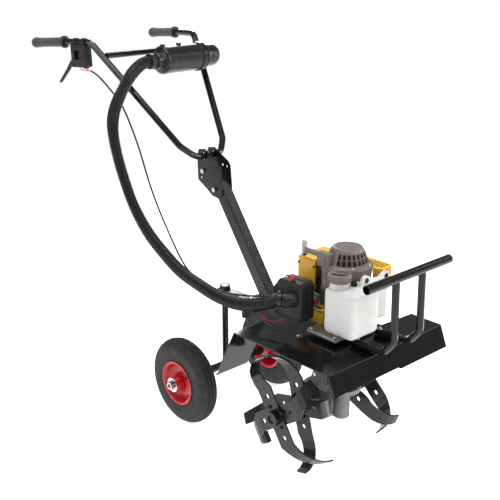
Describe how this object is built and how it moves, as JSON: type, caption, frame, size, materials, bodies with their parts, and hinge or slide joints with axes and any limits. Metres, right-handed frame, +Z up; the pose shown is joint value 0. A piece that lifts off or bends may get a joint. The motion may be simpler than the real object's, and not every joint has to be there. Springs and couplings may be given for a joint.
{
  "type": "tiller",
  "caption": "Petrol garden tiller: worm-geared tine rotor under a guard, small engine on top, rear transport wheels, tall handlebar with intake pre-filter hose.",
  "frame": {"origin": "centre of the bounding box, on the ground under it", "axes": "+X forward (the way the tiller works), +Y the machine's left, +Z up"},
  "size_m": [1.427, 0.5146, 1.18],
  "materials": {
    "aluminium": "cast",
    "black_paint": "gloss",
    "black_plastic": "satin",
    "dark_steel": "oiled",
    "filter": "felt",
    "foam": "matte",
    "grey_plastic": "satin",
    "light_grey": "satin",
    "red_paint": "gloss",
    "red_plastic": "gloss",
    "rubber": "matte",
    "tank_white": "translucent satin",
    "tyre": "matte",
    "yellow": "gloss",
    "zinc": "zinc plated"
  },
  "bodies": {
    "chassis": {"guard_sheet": "black_paint", "chassis_beam": "black_paint", "mast_foot_plate": "black_paint", "mast_tube": "black_paint", "gearbox_case": "aluminium", "bumper": "black_paint", "engine_pedestal": "dark_steel", "engine_flange": "aluminium", "crankcase": "aluminium", "cylinder": "aluminium", "spark_plug": "light_grey", "engine_shroud": "yellow", "muffler": "dark_steel", "muffler_cover": "yellow", "fan_housing": "grey_plastic", "starter_housing": "grey_plastic", "fuel_tank": "tank_white", "carburettor": "aluminium", "intake_box_base": "black_plastic", "intake_box_cover": "black_plastic", "intake_filter": "filter", "intake_hose": "rubber", "throttle_cable": "black_plastic"},
    "handlebar": {"right_bracket_plate": "black_paint", "left_bracket_plate": "black_paint", "handlebar_tilt_bolt": "zinc", "handlebar_lock_bolt": "dark_steel", "handlebar_tube": "black_paint", "handlebar_cross_tube": "black_paint", "right_grip": "foam", "left_grip": "foam", "throttle_housing": "black_plastic", "canister_body": "black_plastic", "canister_cap": "black_plastic", "canister_clamp": "black_paint", "canister_filter": "filter"},
    "throttle_lever": {"throttle_lever": "black_plastic"},
    "stop_switch": {"stop_switch": "red_plastic"},
    "wheel_frame": {"wheel_post": "black_paint", "wheel_axle": "zinc"},
    "right_wheel": {"right_rim": "red_paint", "right_tyre": "tyre"},
    "left_wheel": {"left_rim": "red_paint", "left_tyre": "tyre"},
    "tine_rotor": {"tine_shaft": "dark_steel", "worm_wheel": "dark_steel", "right_outer_tines": "black_paint", "right_inner_tines": "black_paint", "left_inner_tines": "black_paint", "left_outer_tines": "black_paint"},
    "worm": {"worm_shaft": "dark_steel", "clutch_drum": "dark_steel"},
    "crank": {"crankshaft": "dark_steel", "flywheel": "aluminium"},
    "starter_reel": {"starter_reel": "black_plastic"},
    "starter_pull": {"starter_handle": "light_grey"},
    "fuel_cap": {"fuel_cap": "grey_plastic"},
    "choke": {"choke_knob": "red_plastic"},
    "primer": {"primer_bulb": "red_plastic"}
  },
  "joints": [
    {"name": "handlebar_tilt", "type": "hinge", "parent": "chassis", "child": "handlebar", "pos_m": [-0.05575, 0, 0.73], "axis": [0, 1, 0], "range_deg": [-15, 15], "deforming": ["intake_hose", "throttle_cable"]},
    {"name": "throttle_lever_squeeze", "type": "hinge", "parent": "handlebar", "child": "throttle_lever", "pos_m": [-0.50281, -0.21802, 1.11708], "axis": [-0.1388, 0.9903, 0], "range_deg": [0, 22], "stiffness_Nm_per_rad": 0.5, "springref_deg": -11.46},
    {"name": "stop_switch_press", "type": "slide", "parent": "handlebar", "child": "stop_switch", "axis": [-0.0503, -0.0071, 0.9987], "range_m": [0, 0.003], "stiffness_N_per_m": 600, "springref_m": -0.001},
    {"name": "wheel_frame_height", "type": "slide", "parent": "chassis", "child": "wheel_frame", "axis": [0, 0, 1], "range_m": [-0.03, 0]},
    {"name": "right_wheel_spin", "type": "hinge", "parent": "wheel_frame", "child": "right_wheel", "pos_m": [-0.01275, -0.193, 0.14], "axis": [0, 1, 0], "continuous": true},
    {"name": "left_wheel_spin", "type": "hinge", "parent": "wheel_frame", "child": "left_wheel", "pos_m": [-0.01275, 0.193, 0.14], "axis": [0, 1, 0], "continuous": true},
    {"name": "tine_spin", "type": "hinge", "parent": "chassis", "child": "tine_rotor", "pos_m": [0.40725, 0, 0.183], "axis": [0, 1, 0], "continuous": true},
    {"name": "worm_spin", "type": "hinge", "parent": "chassis", "child": "worm", "pos_m": [0.48225, 0, 0.3], "axis": [0, 0, 1], "continuous": true},
    {"name": "crank_spin", "type": "hinge", "parent": "chassis", "child": "crank", "pos_m": [0.48225, 0, 0.5], "axis": [0, 0, 1], "continuous": true},
    {"name": "starter_pull", "type": "slide", "parent": "chassis", "child": "starter_pull", "axis": [-1, 0, 0], "range_m": [0, 0.1], "stiffness_N_per_m": 40, "springref_m": -0.1},
    {"name": "starter_reel_spin", "type": "hinge", "parent": "chassis", "child": "starter_reel", "pos_m": [0.48225, 0, 0.64], "axis": [0, 0, 1], "range_deg": [0, 160]},
    {"name": "fuel_cap_turn", "type": "hinge", "parent": "chassis", "child": "fuel_cap", "pos_m": [0.54225, -0.096, 0.62], "axis": [0, 0, 1], "range_deg": [0, 180]},
    {"name": "choke_turn", "type": "hinge", "parent": "chassis", "child": "choke", "pos_m": [0.40825, -0.137, 0.588], "axis": [0, 0, 1], "range_deg": [0, 90]},
    {"name": "primer_press", "type": "slide", "parent": "chassis", "child": "primer", "axis": [-1, 0, 0], "range_m": [0, 0.004], "stiffness_N_per_m": 500, "springref_m": -0.001}
  ],
  "couplings": [
    {"joint": "worm_spin", "follows": "tine_spin", "ratio": 30},
    {"joint": "starter_reel_spin", "follows": "starter_pull", "rad_per_m": 27.8}
  ]
}
